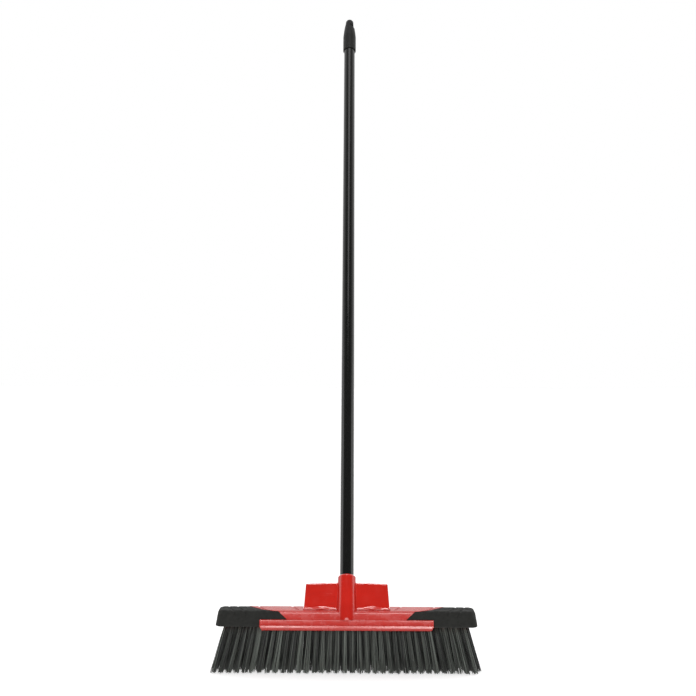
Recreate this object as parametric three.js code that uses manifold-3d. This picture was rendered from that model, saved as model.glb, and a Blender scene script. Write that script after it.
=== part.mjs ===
// Push broom with a bumpered plastic head and a screw-in steel handle.
//
// Frame: millimetres, +Z up, +X along the head, -Y the leading side of the head.
// The origin is the centre of the trimmed bristle tips, so the floor is z = 0.
// The handle leans back towards +Y.

import * as THREE from 'three';
import { ConvexGeometry } from 'three/addons/geometries/ConvexGeometry.js';
import { mergeVertices } from 'three/addons/utils/BufferGeometryUtils.js';
import Module from 'manifold-3d';

const wasm = await Module();
wasm.setup();

// ---------------------------------------------------------------- driving sizes

const GAP = 0.3;                     // between pieces that touch, on every side

// Block: a drafted bar with a scraper lip along its leading lower edge.
const BLOCK_WIDTH = 463;             // end to end, at the underside
const BLOCK_DEPTH = 73;              // front to back, at the underside
const BLOCK_HEIGHT = 25;
const TOP_SETBACK = 17;              // how far each long face slopes in by the top
const END_SETBACK = 3.5;             // and each end face
const PLAN_CORNER = 12;              // corner radius seen from above
const TOP_EDGE = 4.5;                // rounding of the upper edges
const LOW_EDGE = 1.5;                  // and of the lower ones
const LIP_RADIUS = 4.4;
const LIP_MARGIN = 78.5;             // block end to the lip's end
const LIP_FORWARD = 1.8;             // lip centre ahead of the block's lower edge
const LIP_DROP = 0.8;                // and below it

// Bumpers: soft covers over both ends, with a tongue along the leading face.
const BUMPER_SKIN = 3;
const BUMPER_SUNK = 0.4;             // below the block's own faces
const BUMPER_BACK_REACH = 55.5;      // in from the block's end, along the top's back edge
const BUMPER_FRONT_REACH = 74.5;     // along its front edge
const TONGUE_TOP_REACH = 110.5;      // to the upper corner of the tongue
const TONGUE_TIP_REACH = 127.5;      // and to the tongue's tip
const TONGUE_HEIGHT = 13.5;          // of the leading face that the tongue covers, from the top
const GROOVE_WIDTH = 3;
const GROOVE_DEPTH = 1.2;
const GROOVE_TURN = 21;              // degrees, seen from above
const BLOCK_GROOVES = [133.5, 73.5]; // in from the block's end, at the back edge
const BUMPER_GROOVES = [35.5, 19.5];

// Tufts: folded bundles of bristle set in blind holes, fanned outwards.
const BRISTLE_LENGTH = 81;           // from the block's underside to the floor
const TUFT_COLUMNS = 35;
const TUFT_ROWS = 5;
const END_MARGIN = 22;               // block end to the middle of the first column
const ROW_SHIFT = 0.25;              // of a pitch: alternate rows stand to either side of that
const SIDE_MARGIN = 13.5;            // block side to the first row
const TUFT_RADIUS = 3.1;
const TUFT_SET = 11;                 // depth of a tuft's hole
const FAN_X = 1.1;                   // how much further apart the tips are than the roots
const FAN_Y = 1.35;
const TIP_BRIDGE = 1.6;              // radius of what joins the tufts of one column near their tips
const BRIDGE_HEIGHT = 6;
const TUFT_SIDES = 6;

// Handle: tube, threaded tip and hanging cap, all on one leaning axis.
const HANDLE_LEAN = 30;              // degrees back from upright
const AXIS_AHEAD = 6;                // of the block's centre, where it meets the block's top
const SOCKET_RISE = 61;              // along the axis, block top to socket mouth
const TUBE_DIAMETER = 25;
const TUBE_WALL = 0.6;
const TUBE_LENGTH = 1352;
const TUBE_IN_SOCKET = 16;
const TUBE_IN_CAP = 44;
const THREAD_DIAMETER = 19;
const THREAD_PITCH = 5.08;
const THREAD_HEIGHT = 1.5;
const THREAD_LENGTH = 28;
const SHOULDER = 2.3;
const PLUG_LENGTH = 40;

// Bracket: socket, face panel and base flange in one moulding.
const SOCKET_WALL = 3.4;
const SOCKET_FLARE = 1.5;            // gain in radius from the mouth to the block
const SOCKET_CHAMFER = 3;
const NOSE_REACH = 15;               // along the axis, block top to the nose's centre
const NOSE_DEPTH = 22;               // how far the nose's flanks reach behind the axis
const BORE_END_GAP = 3;
const PANEL_AHEAD = 4.8;             // panel face ahead of the handle's axis
const PANEL_THICKNESS = 5;
const PANEL_LOW_HALF = 77.6;
const PANEL_TOP_HALF = 73.5;
const PANEL_BELOW_MOUTH = 15.5;      // panel's upper corners below the socket's mouth
const PANEL_ARCH = 2.2;
const PANEL_RIM = 1.2;
const FLANGE_THICKNESS = 2;
const FLANGE_FRONT = 12.5;           // ahead of the block's middle
const FLANGE_BACK = 15;              // and behind it
const PEG_RADIUS = 4;
const PEG_LENGTH = 8;
const PEG_SPACING = 90;

// Hanging cap
const CAP_WALL = 2.2;
const CAP_LENGTH = 101;
const CAP_SKIRT = 42;                // straight part, from the open end
const CAP_TIP_RADIUS = 9.2;
const CAP_CROWN = 0.38;              // share of its taper that the cap has lost halfway up
const CAP_MOUTH_FLARE = 1.1;
const CAP_MOUTH_DEPTH = 5;
const EYE_RADIUS = 5.3;
const EYE_FROM_TIP = 17;
const EYE_TURN = 35;                 // degrees, from +X towards the leading side
const EYE_WEB = 6;                   // thickness left between the two scoops
const SCOOP_RADIUS = 13;

// ---------------------------------------------------------------- derived places

const blockLow = BRISTLE_LENGTH;
const blockTop = blockLow + BLOCK_HEIGHT;
const blockEnd = BLOCK_WIDTH / 2;
const topEdge = BLOCK_DEPTH / 2 - TOP_SETBACK;
const lipTop = blockLow - LIP_DROP + LIP_RADIUS;
const lean = THREE.MathUtils.degToRad(HANDLE_LEAN);
const boreRadius = THREAD_DIAMETER / 2 + GAP;
const mouthRadius = TUBE_DIAMETER / 2 + GAP;
const socketRadius = mouthRadius + SOCKET_WALL;
const socketLowRadius = socketRadius + SOCKET_FLARE;
const mouthDepth = TUBE_IN_SOCKET + SHOULDER + 2 * GAP;
const boreEnd = mouthDepth + THREAD_LENGTH + BORE_END_GAP;
const capStart = TUBE_LENGTH - TUBE_IN_SOCKET - TUBE_IN_CAP;
const capRadius = mouthRadius + CAP_WALL;
const columnPitch = (BLOCK_WIDTH - 2 * END_MARGIN) / (TUFT_COLUMNS - 1);
const rowPitch = (BLOCK_DEPTH - 2 * SIDE_MARGIN) / (TUFT_ROWS - 1);

// The handle's own frame: origin at the centre of the socket's mouth, +Z up the tube,
// -Y the side that faces forwards and up.
const handleFrame = new THREE.Matrix4()
  .makeRotationX(-lean)
  .setPosition(
    0,
    SOCKET_RISE * Math.sin(lean) - AXIS_AHEAD,
    blockTop + SOCKET_RISE * Math.cos(lean),
  );

// ---------------------------------------------------------------- materials

const paint = (color, roughness, metalness = 0) =>
  new THREE.MeshStandardMaterial({ color, roughness, metalness });
const redPlastic = paint(0xc8281f, 0.35);
const softRubber = paint(0x2c2c29, 0.8);
const bristle = paint(0x343a35, 0.55);
const blackCoat = paint(0x262624, 0.4, 0.3);
const blackPlastic = paint(0x2a2a28, 0.55);
const threadPlastic = paint(0x1d1d1c, 0.5);

// ---------------------------------------------------------------- solids

// A closed geometry as a solid, moved by a matrix where one is given.
function solid(geometry, matrix) {
  const bare = geometry.clone();
  if (matrix) bare.applyMatrix4(matrix);
  bare.deleteAttribute('normal');
  bare.deleteAttribute('uv');
  const merged = mergeVertices(bare, 1e-3);
  return new wasm.Manifold(new wasm.Mesh({
    numProp: 3,
    vertProperties: merged.attributes.position.array,
    triVerts: new Uint32Array(merged.index.array),
  }));
}

// A solid as a named mesh.
function part(name, made, material) {
  const { vertProperties, triVerts } = made.getMesh();
  const geometry = new THREE.BufferGeometry()
    .setAttribute('position', new THREE.BufferAttribute(vertProperties, 3))
    .setIndex(new THREE.BufferAttribute(triVerts, 1));
  geometry.computeVertexNormals();
  const mesh = new THREE.Mesh(geometry, material);
  mesh.name = name;
  return mesh;
}

const shift = (x, y, z) => new THREE.Matrix4().makeTranslation(x, y, z);

function box([x0, x1], [y0, y1], [z0, z1], matrix) {
  const geometry = new THREE.BoxGeometry(x1 - x0, y1 - y0, z1 - z0)
    .translate((x0 + x1) / 2, (y0 + y1) / 2, (z0 + z1) / 2);
  return solid(geometry, matrix);
}

// A body of revolution about +Z, from a profile of [radius, z] points, listed so that
// its material lies to the left of the way they run.
function turned(profile, matrix, segments = 24) {
  const points = profile.map(([r, z]) => new THREE.Vector2(r, z));
  points.push(points[0].clone());
  return solid(new THREE.LatheGeometry(points, segments).rotateX(Math.PI / 2), matrix);
}

function rod(radius, z0, z1, matrix, segments = 24) {
  const geometry = new THREE.CylinderGeometry(radius, radius, z1 - z0, segments)
    .rotateX(Math.PI / 2)
    .translate(0, 0, (z0 + z1) / 2);
  return solid(geometry, matrix);
}

// An outline of [x, z] points, pushed along Y from y0 to y1.
function slab(outline, [y0, y1], bevel = 0, matrix) {
  const shape = new THREE.Shape(outline.map(([x, z]) => new THREE.Vector2(x, z)));
  const geometry = new THREE.ExtrudeGeometry(shape, {
    depth: y1 - y0 - 2 * bevel,
    bevelEnabled: bevel > 0,
    bevelSize: bevel,
    bevelOffset: -bevel,
    bevelThickness: bevel,
    bevelSegments: 1,
  }).rotateX(Math.PI / 2).translate(0, y1 - bevel, 0);
  return solid(geometry, matrix);
}

// An outline of [x, y] points, raised along Z from z0 to z1.
function prism(outline, [z0, z1]) {
  const shape = new THREE.Shape(outline.map(([x, y]) => new THREE.Vector2(x, y)));
  const depth = z1 - z0;
  return solid(new THREE.ExtrudeGeometry(shape, { depth, bevelEnabled: false })
    .translate(0, 0, z0));
}

const union = (...solids) => solids.reduce((a, b) => a.add(b));

// ---------------------------------------------------------------- block

// One level of the block: a rounded rectangle at height z, drawn in from the drafted
// faces by inset.
function blockRing(z, inset) {
  const rise = (z - blockLow) / BLOCK_HEIGHT;
  const halfX = BLOCK_WIDTH / 2 - END_SETBACK * rise - inset;
  const halfY = BLOCK_DEPTH / 2 - TOP_SETBACK * rise - inset;
  const radius = Math.max(PLAN_CORNER - inset, 1);
  const ring = new THREE.Shape()
    .absarc(halfX - radius, halfY - radius, radius, 0, Math.PI / 2)
    .absarc(radius - halfX, halfY - radius, radius, Math.PI / 2, Math.PI)
    .absarc(radius - halfX, radius - halfY, radius, Math.PI, 1.5 * Math.PI)
    .absarc(halfX - radius, radius - halfY, radius, 1.5 * Math.PI, 2 * Math.PI);
  return ring.getPoints(4).map(({ x, y }) => new THREE.Vector3(x, y, z));
}

// The whole drafted bar, with its faces moved in by skin (or out, where skin is negative).
function bar(skin) {
  return solid(new ConvexGeometry([
    ...blockRing(blockLow, skin + LOW_EDGE),
    ...blockRing(blockLow + LOW_EDGE, skin),
    ...barCrown(skin),
  ]));
}

// The same bar carried on below the block's underside, to cut with.
function deepBar(skin) {
  return solid(new ConvexGeometry([
    ...blockRing(blockLow - BLOCK_HEIGHT, skin),
    ...barCrown(skin),
  ]));
}

function barCrown(skin) {
  const top = blockTop - skin;
  return [
    ...blockRing(top - TOP_EDGE, skin),
    ...blockRing(top - TOP_EDGE / 3, skin + TOP_EDGE / 4),
    ...blockRing(top, skin + TOP_EDGE),
  ];
}

// What a bumper covers on the side given by sign, grown by spare all round.
function bumperRegion(sign, spare) {
  const far = BLOCK_WIDTH;
  const below = blockLow - BLOCK_HEIGHT;
  const above = blockTop + BLOCK_HEIGHT;
  const skew = (BUMPER_FRONT_REACH - BUMPER_BACK_REACH) / (2 * topEdge);
  const aside = spare * Math.hypot(1, skew);
  const backStart = blockEnd - BUMPER_BACK_REACH - aside;
  const frontStart = blockEnd - BUMPER_FRONT_REACH - aside;
  const plan = [
    [backStart, far],
    [backStart, topEdge],
    [frontStart, -topEdge],
    [frontStart, -far],
    [far, -far],
    [far, far],
  ];
  const slant = (TONGUE_TIP_REACH - TONGUE_TOP_REACH) / TONGUE_HEIGHT;
  const tongueTop = blockEnd - TONGUE_TOP_REACH - spare * Math.hypot(1, slant);
  const face = [
    [tongueTop - slant * (blockTop - below), below],
    [far, below],
    [far, above],
    [tongueTop, above],
    [tongueTop, blockTop],
  ];
  const tongueLow = blockTop - TONGUE_HEIGHT - spare;
  const lipEnd = blockEnd - LIP_MARGIN + GAP - spare;
  const tongueBack = TOP_EDGE / 2 + spare - topEdge;
  return prism(plan, [below, above])
    .add(slab(face, [-BLOCK_DEPTH, tongueBack]))
    .subtract(box([-far, lipEnd], [-far, 0], [below - GAP, tongueLow]))
    .transform(new THREE.Matrix4().makeScale(sign, 1, 1).elements);
}

// Shallow grooves across the top on both sides, running forwards and inwards.
function grooves(places) {
  const turn = THREE.MathUtils.degToRad(GROOVE_TURN);
  const length = 2 * topEdge / Math.cos(turn);
  const cuts = places.flatMap((place) => [1, -1].map((sign) => {
    const frame = new THREE.Matrix4()
      .makeRotationZ(-sign * turn)
      .setPosition(sign * (blockEnd - place), topEdge, blockTop);
    return box(
      [-GROOVE_WIDTH / 2, GROOVE_WIDTH / 2], [-length, length / 2],
      [-GROOVE_DEPTH, GROOVE_DEPTH], frame);
  }));
  return union(...cuts);
}

// The axis of one tuft, as a function from height to [x, y].
function tuftAxis(column, row) {
  const side = row % 2 ? ROW_SHIFT : -ROW_SHIFT;
  const x = (column - (TUFT_COLUMNS - 1) / 2 + side) * columnPitch;
  const y = (row - (TUFT_ROWS - 1) / 2) * rowPitch;
  return (z) => {
    const down = (blockLow - z) / BRISTLE_LENGTH;
    return [x * (1 + (FAN_X - 1) * down), y * (1 + (FAN_Y - 1) * down)];
  };
}

// A leaning prism whose rings are given as [z, half width, half depth], highest first.
function leaningPrism(at, rings) {
  const geometry = new THREE.CylinderGeometry(1, 1, 1, TUFT_SIDES, rings.length - 1)
    .rotateX(Math.PI / 2);
  const position = geometry.getAttribute('position');
  for (let i = 0; i < position.count; i++) {
    const level = Math.round((0.5 - position.getZ(i)) * (rings.length - 1));
    const [z, halfX, halfY] = rings[level];
    const [x, y] = at(z);
    position.setXYZ(i, x + position.getX(i) * halfX, y + position.getY(i) * halfY, z);
  }
  return solid(geometry);
}

function tuftHoles() {
  const radius = TUFT_RADIUS + GAP;
  const holes = [];
  for (let column = 0; column < TUFT_COLUMNS; column++) {
    for (let row = 0; row < TUFT_ROWS; row++) {
      holes.push(leaningPrism(tuftAxis(column, row), [
        [blockLow + TUFT_SET, radius, radius],
        [blockLow - LOW_EDGE, radius, radius],
      ]));
    }
  }
  return union(...holes);
}

const pegPlaces = [-PEG_SPACING / 2, PEG_SPACING / 2];

function makeBlock() {
  const core = deepBar(BUMPER_SKIN + GAP);
  const lipFrame = new THREE.Matrix4()
    .makeRotationY(Math.PI / 2)
    .setPosition(0, -BLOCK_DEPTH / 2 - LIP_FORWARD, blockLow - LIP_DROP);
  const lip = rod(LIP_RADIUS, LIP_MARGIN - blockEnd, blockEnd - LIP_MARGIN, lipFrame, 12);
  let block = bar(0);
  for (const sign of [1, -1]) {
    block = block.subtract(bumperRegion(sign, GAP).subtract(core));
  }
  block = block.add(lip).subtract(grooves(BLOCK_GROOVES)).subtract(tuftHoles());
  for (const x of pegPlaces) {
    block = block.subtract(
      rod(PEG_RADIUS + GAP, blockTop - PEG_LENGTH - GAP, blockTop + 1, shift(x, 0, 0), 12));
  }
  return block;
}

function makeBumper(sign) {
  return bar(BUMPER_SUNK)
    .subtract(deepBar(BUMPER_SKIN))
    .intersect(bumperRegion(sign, 0))
    .subtract(grooves(BUMPER_GROOVES));
}

// ---------------------------------------------------------------- tufts

// One column: the tufts across the block. Their tips are the cells of a honeycomb, a gap
// apart, and small bridges join those of one column.
function makeTuftColumn(column) {
  const halfX = (columnPitch * FAN_X - GAP) / 2;
  const halfY = (rowPitch * FAN_Y * 2) / 3 - GAP;
  const flat = Math.cos(Math.PI / TUFT_SIDES);
  const pieces = [];
  for (let row = 0; row < TUFT_ROWS; row++) {
    const axis = tuftAxis(column, row);
    pieces.push(leaningPrism(axis, [
      [blockLow + TUFT_SET - GAP, TUFT_RADIUS, TUFT_RADIUS],
      [blockLow, TUFT_RADIUS, TUFT_RADIUS],
      [0, halfX / flat, halfY],
    ]));
    if (row === 0) continue;
    const before = tuftAxis(column, row - 1);
    const between = (z) => axis(z).map((value, i) => (value + before(z)[i]) / 2);
    pieces.push(leaningPrism(between, [
      [BRIDGE_HEIGHT, TIP_BRIDGE, TIP_BRIDGE],
      [0, TIP_BRIDGE, TIP_BRIDGE],
    ]));
  }
  return union(...pieces);
}

// ---------------------------------------------------------------- bracket

function makeBracket() {
  const top = -SOCKET_RISE;
  const nose = top - NOSE_REACH;
  const socket = turned([
    [0, nose],
    [socketLowRadius, nose],
    [socketLowRadius, top],
    [socketRadius, -SOCKET_CHAMFER],
    [mouthRadius + SOCKET_WALL / 3, 0],
    [0, 0],
  ], handleFrame);
  const noseEnd = solid(
    new THREE.SphereGeometry(socketLowRadius, 24, 12).translate(0, 0, nose), handleFrame);
  const backwards = new THREE.Matrix4().makeRotationX(-Math.PI / 2).setPosition(0, 0, nose);
  const flankEnd = rod(socketLowRadius, 0, NOSE_DEPTH,
    handleFrame.clone().multiply(backwards));
  const flanks = box(
    [-socketLowRadius, socketLowRadius], [0, NOSE_DEPTH], [nose, top],
    handleFrame);

  const panelCorner = -PANEL_BELOW_MOUTH;
  const arch = new THREE.QuadraticBezierCurve(
    new THREE.Vector2(PANEL_TOP_HALF, panelCorner),
    new THREE.Vector2(0, panelCorner + 2 * PANEL_ARCH),
    new THREE.Vector2(-PANEL_TOP_HALF, panelCorner),
  );
  const panelOutline = [
    [-PANEL_LOW_HALF, nose],
    [PANEL_LOW_HALF, nose],
    ...arch.getPoints(8).map(({ x, y }) => [x, y]),
  ];
  const panel = slab(panelOutline, [-PANEL_AHEAD, PANEL_THICKNESS - PANEL_AHEAD],
    PANEL_RIM, handleFrame);

  const flange = box([-PANEL_LOW_HALF, PANEL_LOW_HALF], [-FLANGE_FRONT, FLANGE_BACK],
    [blockTop, blockTop + GAP + FLANGE_THICKNESS]);

  // What the block fills is cut away, and so is all that lies below it or behind it.
  const wide = [-BLOCK_WIDTH, BLOCK_WIDTH];
  const behind = box(wide, [0, BLOCK_WIDTH], [-BLOCK_WIDTH, blockTop + GAP]);
  const below = box(wide, wide, [-BLOCK_WIDTH, lipTop + GAP]);
  let bracket = union(socket, noseEnd, flankEnd, flanks, panel, flange)
    .subtract(bar(-GAP))
    .subtract(behind)
    .subtract(below)
    .subtract(rod(mouthRadius, -mouthDepth, 1, handleFrame))
    .subtract(rod(boreRadius, -boreEnd, 0, handleFrame));
  for (const x of pegPlaces) {
    bracket = bracket.add(
      rod(PEG_RADIUS, blockTop - PEG_LENGTH, blockTop + FLANGE_THICKNESS, shift(x, 0, 0), 12));
  }
  return bracket;
}

// ---------------------------------------------------------------- handle

function makeTube() {
  const outer = TUBE_DIAMETER / 2;
  const low = -TUBE_IN_SOCKET;
  const high = TUBE_LENGTH - TUBE_IN_SOCKET;
  return turned([
    [outer - TUBE_WALL, low],
    [outer, low],
    [outer, high],
    [outer - TUBE_WALL, high],
  ]);
}

class Helix extends THREE.Curve {
  constructor(radius, pitch, start, length) {
    super();
    Object.assign(this, { radius, pitch, start, length });
  }

  getPoint(t) {
    const angle = 2 * Math.PI * (this.length / this.pitch) * t;
    return new THREE.Vector3(
      this.radius * Math.cos(angle),
      this.radius * Math.sin(angle),
      this.start + this.length * t,
    );
  }
}

function makeThreadTip() {
  const shoulderTop = -TUBE_IN_SOCKET - GAP;
  const shoulderLow = shoulderTop - SHOULDER;
  const end = -mouthDepth - THREAD_LENGTH;
  const plugRadius = TUBE_DIAMETER / 2 - TUBE_WALL - GAP;
  const coreRadius = THREAD_DIAMETER / 2 - THREAD_HEIGHT;
  const body = turned([
    [0, end],
    [coreRadius - THREAD_HEIGHT, end],
    [coreRadius, end + THREAD_HEIGHT],
    [coreRadius, shoulderLow],
    [TUBE_DIAMETER / 2, shoulderLow],
    [TUBE_DIAMETER / 2, shoulderTop],
    [plugRadius, shoulderTop],
    [plugRadius, shoulderTop + PLUG_LENGTH - THREAD_HEIGHT],
    [plugRadius - THREAD_HEIGHT, shoulderTop + PLUG_LENGTH],
    [0, shoulderTop + PLUG_LENGTH],
  ], undefined, 20);
  // The ridge starts past the chamfer and ends short of the shoulder.
  const ridgeRun = THREAD_LENGTH - 3 * THREAD_HEIGHT;
  const helix = new Helix(coreRadius, THREAD_PITCH, end + 2 * THREAD_HEIGHT, ridgeRun);
  const section = new THREE.Shape().absarc(0, 0, THREAD_HEIGHT, 0, 2 * Math.PI);
  const ridge = solid(new THREE.ExtrudeGeometry(section, {
    extrudePath: helix,
    steps: Math.round(12 * ridgeRun / THREAD_PITCH),
    curveSegments: 3,
    bevelEnabled: false,
  }));
  return body.add(ridge);
}

// The cap in its own frame: open end at z = 0, closed tip at z = CAP_LENGTH.
function makeHangCap() {
  const bore = TUBE_IN_CAP + GAP;
  const tipCentre = CAP_LENGTH - CAP_TIP_RADIUS;
  const dome = [15, 40, 65].map((degrees) => {
    const angle = THREE.MathUtils.degToRad(degrees);
    return [
      CAP_TIP_RADIUS * Math.cos(angle),
      tipCentre + CAP_TIP_RADIUS * Math.sin(angle),
    ];
  });
  const midHeight = (CAP_SKIRT + tipCentre) / 2;
  const midRadius = capRadius - (capRadius - CAP_TIP_RADIUS) * CAP_CROWN;
  const body = turned([
    [mouthRadius + CAP_MOUTH_FLARE, 0],
    [capRadius - CAP_MOUTH_FLARE / 2, 0],
    [capRadius, CAP_MOUTH_FLARE],
    [capRadius, CAP_SKIRT],
    [midRadius, midHeight],
    [CAP_TIP_RADIUS, tipCentre],
    ...dome,
    [0, CAP_LENGTH],
    [0, bore],
    [mouthRadius, bore],
    [mouthRadius, CAP_MOUTH_DEPTH],
  ]);
  const eyeZ = CAP_LENGTH - EYE_FROM_TIP;
  const turn = THREE.MathUtils.degToRad(EYE_TURN);
  const eyeFrame = new THREE.Matrix4()
    .makeRotationZ(-turn)
    .multiply(new THREE.Matrix4().makeRotationY(Math.PI / 2))
    .premultiply(shift(0, 0, eyeZ));
  let cap = body.subtract(rod(EYE_RADIUS, -capRadius, capRadius, eyeFrame, 16));
  for (const side of [1, -1]) {
    const scoop = new THREE.SphereGeometry(SCOOP_RADIUS, 20, 12)
      .translate(0, 0, side * (EYE_WEB / 2 + SCOOP_RADIUS));
    cap = cap.subtract(solid(scoop, eyeFrame));
  }
  return cap;
}

// ---------------------------------------------------------------- assembly

const broom = new THREE.Group();

const head = new THREE.Group();
head.add(
  part('block', makeBlock(), redPlastic),
  part('bumper_left', makeBumper(-1), softRubber),
  part('bumper_right', makeBumper(1), softRubber),
  part('handle_bracket', makeBracket(), redPlastic),
);
for (let column = 0; column < TUFT_COLUMNS; column++) {
  const label = String(column + 1).padStart(2, '0');
  head.add(part(`tuft_column_${label}`, makeTuftColumn(column), bristle));
}

const handle = new THREE.Group();
handle.applyMatrix4(handleFrame);
const hangCap = part('hang_cap', makeHangCap(), blackPlastic);
hangCap.position.z = capStart;
handle.add(
  part('handle_tube', makeTube(), blackCoat),
  part('thread_tip', makeThreadTip(), threadPlastic),
  hangCap,
);

broom.add(head, handle);

export default broom;
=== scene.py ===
# Push broom: its looks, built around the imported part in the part's own frame.
# Metres in Blender, millimetres in the sizes below. +Z is up from the floor, +X runs
# along the head, -Y is its leading side, and the handle leans back towards +Y.

import math

import bmesh
import bpy
import numpy as np
from mathutils import Matrix, Vector


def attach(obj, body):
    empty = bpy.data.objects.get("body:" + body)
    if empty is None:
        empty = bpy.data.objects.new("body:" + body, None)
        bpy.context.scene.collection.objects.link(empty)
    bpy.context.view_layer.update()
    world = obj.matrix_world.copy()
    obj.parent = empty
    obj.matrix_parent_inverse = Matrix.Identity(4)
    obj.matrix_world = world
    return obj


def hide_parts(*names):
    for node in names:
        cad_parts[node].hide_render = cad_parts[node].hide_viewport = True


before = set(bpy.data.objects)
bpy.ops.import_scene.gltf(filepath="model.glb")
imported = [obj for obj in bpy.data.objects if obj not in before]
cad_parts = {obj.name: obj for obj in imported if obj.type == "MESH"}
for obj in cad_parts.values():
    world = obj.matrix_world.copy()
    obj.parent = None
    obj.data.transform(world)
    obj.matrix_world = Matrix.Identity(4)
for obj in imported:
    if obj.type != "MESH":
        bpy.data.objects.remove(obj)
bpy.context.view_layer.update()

MM = 0.001

# ---------------------------------------------------------------- sizes, as in the part

GAP = 0.3
BLOCK_WIDTH = 463
BLOCK_DEPTH = 73
BLOCK_HEIGHT = 25
TOP_SETBACK = 17
END_SETBACK = 3.5
PLAN_CORNER = 12
TOP_EDGE = 4.5
LOW_EDGE = 1.5
LIP_RADIUS = 4.4
LIP_MARGIN = 78.5
LIP_FORWARD = 1.8
LIP_DROP = 0.8

BUMPER_SKIN = 3
BUMPER_SUNK = 0.4
BUMPER_BACK_REACH = 55.5
TONGUE_TOP_REACH = 110.5
TONGUE_TIP_REACH = 127.5
TONGUE_HEIGHT = 13.5

BRISTLE_LENGTH = 81
TUFT_COLUMNS = 35
TUFT_ROWS = 5
END_MARGIN = 22
ROW_SHIFT = 0.25
SIDE_MARGIN = 13.5
TUFT_RADIUS = 3.1
FAN_X = 1.1
FAN_Y = 1.35

HANDLE_LEAN = math.radians(30)
AXIS_AHEAD = 6
SOCKET_RISE = 61
TUBE_DIAMETER = 25
TUBE_WALL = 0.6
TUBE_LENGTH = 1352
TUBE_IN_SOCKET = 16
TUBE_IN_CAP = 44
THREAD_DIAMETER = 19
THREAD_PITCH = 5.08
THREAD_HEIGHT = 1.5
THREAD_LENGTH = 28
SHOULDER = 2.3
PLUG_LENGTH = 40

SOCKET_WALL = 3.4
SOCKET_FLARE = 1.5
SOCKET_CHAMFER = 3
NOSE_DEPTH = 22
BORE_END_GAP = 3
PANEL_AHEAD = 4.8
PANEL_THICKNESS = 5
PANEL_LOW_HALF = 77.6
PANEL_TOP_HALF = 73.5
PANEL_BELOW_MOUTH = 15.5
PANEL_ARCH = 2.2
FLANGE_THICKNESS = 2
FLANGE_FRONT = 12.5
FLANGE_BACK = 15

CAP_WALL = 2.2
CAP_LENGTH = 101
CAP_SKIRT = 42
CAP_TIP_RADIUS = 9.2
CAP_CROWN = 0.38
CAP_MOUTH_FLARE = 1.1
CAP_MOUTH_DEPTH = 5
EYE_RADIUS = 5.3
EYE_FROM_TIP = 17
EYE_TURN = math.radians(35)
EYE_WEB = 6
SCOOP_RADIUS = 13

# ---------------------------------------------------------------- sizes of the looks alone

NOSE_REACH = 17.5                    # 2.5 more than the part's
BOUNDARY_BEND = (3, -13)             # what bends the bumper's boundary on the top: how far from
                                     # its middle along X, and where along Y
BOUNDARY_STEPS = 12
TONGUE_CORNER = 1.5                  # rounding of the tongue's upper corner
TONGUE_SINK = 0.5                    # its upper edge below the bumper's top
LIP_SIDES = 40
LIP_FLAT = (12, 18)                  # first and last side of the lip's flat upper face
LIP_END_ROUND = ((0, 1.3), (0.35, 0.5), (0.9, 0.12), (1.6, 0))   # (from the end, off the radius)
STRIP_SETBACK = 0.5                  # the strip's ends behind the lip's
STRIP_RAKE = 4.2                     # how far the strip leans back over its height
STRIP_EDGE = 0.8
STRIP_BACK = 10
STRIP_FOOT = 1                       # its hidden lower edge above the block's underside
LIP_END_SLANT = 4                    # how much shorter the lip is along its bottom
EDGE_BREAK = 0.35                    # rounding of the block's cut edges
HOLE_DEPTH = 7
HOLE_SIDES = 14
WEB_MIDDLE = 45                      # the lens-shaped web at the panel's foot
WEB_HALF = 19
WEB_RADIUS = 2.6
WEB_SINK = 0.3
WEB_END_RADIUS = 0.2
RUBBER_VOXEL = 0.6
PLASTIC_VOXEL = 0.6
CAP_VOXEL = 0.5
PANEL_ROUND = 2.3
PANEL_CORNER = 2.2
THREAD_STEP = 0.25                   # height between the rings of the thread
THREAD_FOOT = 1.55                   # half the width of the thread at its root
THREAD_FLANK = 0.75
SHOULDER_EDGE = 0.3
CAP_EDGE = (0.6, 0.8)                # the cap's bevel at its mouth, in and up
GROOVE_TUBE = 2.7                    # radius of the tool that cuts a finger groove
GROOVE_DEPTH = 2.1
GROOVE_CURVE = 1.5                   # the power by which a groove turns inwards
GROOVE_STEPS = 14
GROOVE_OVERRUN = 4                   # how far behind the back edge it starts
GROOVE_FADE_FROM = 0.62              # share of the way over the top where one runs out
GROOVE_FADE = 22.4
GROOVE_FRONT_STEPS = 6
GROOVE_DRIFT = 0.5                   # inwards, for each millimetre down the leading face
GROOVE_FRONT_STEP = 1.6              # steps down the leading face, and the rise at each
GROOVE_FRONT_RISE = 0.22
FACE_DOWN, FACE_OUT = 0.83, 0.56     # run of the leading face, down and outwards
# each groove: how far in from the block's end at the back edge, and its run inwards
BLOCK_GROOVES = ((73.5, 16), (133.5, 16))
BUMPER_GROOVES = ((35.5, 15), (19.5, 12))
FILAMENTS = 34                       # in one tuft
FILAMENT_RADIUS = 0.45
FILAMENT_SIDES = 5
FILAMENT_LEVELS = (1.0, 0.7, 0.38, 0.0)    # of the way up from the tips to the roots
SPLAY = (4.9, 6.6)                   # how far a tuft's outer filaments spread at the tips
SPLAY_SPREAD = (0.8, 0.95)
BEND_SPREAD = 0.9
LEAN_SPREAD = 0.5
TRIM_MEAN = 0.55
FULL_SHARE = 0.9                     # of the filaments. The others are cut short by LONG_TRIM
LONG_TRIM = (1, 3.5)
RADIUS_SPREAD = (0.88, 1.1)
PAINTED_ROW_SHADE = 0.13                    # painted shade: outer rows are lighter by this and inner rows darker, standing in for the shade between the rows
TUFT_TONE_SPREAD = 0.13
FILAMENT_TONE = 0.33
FILAMENT_TONE_SPREAD = 0.33
TONE_POWER = 1.3
BRISTLE_SEED = 41

# ---------------------------------------------------------------- camera and light, in metres

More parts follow.
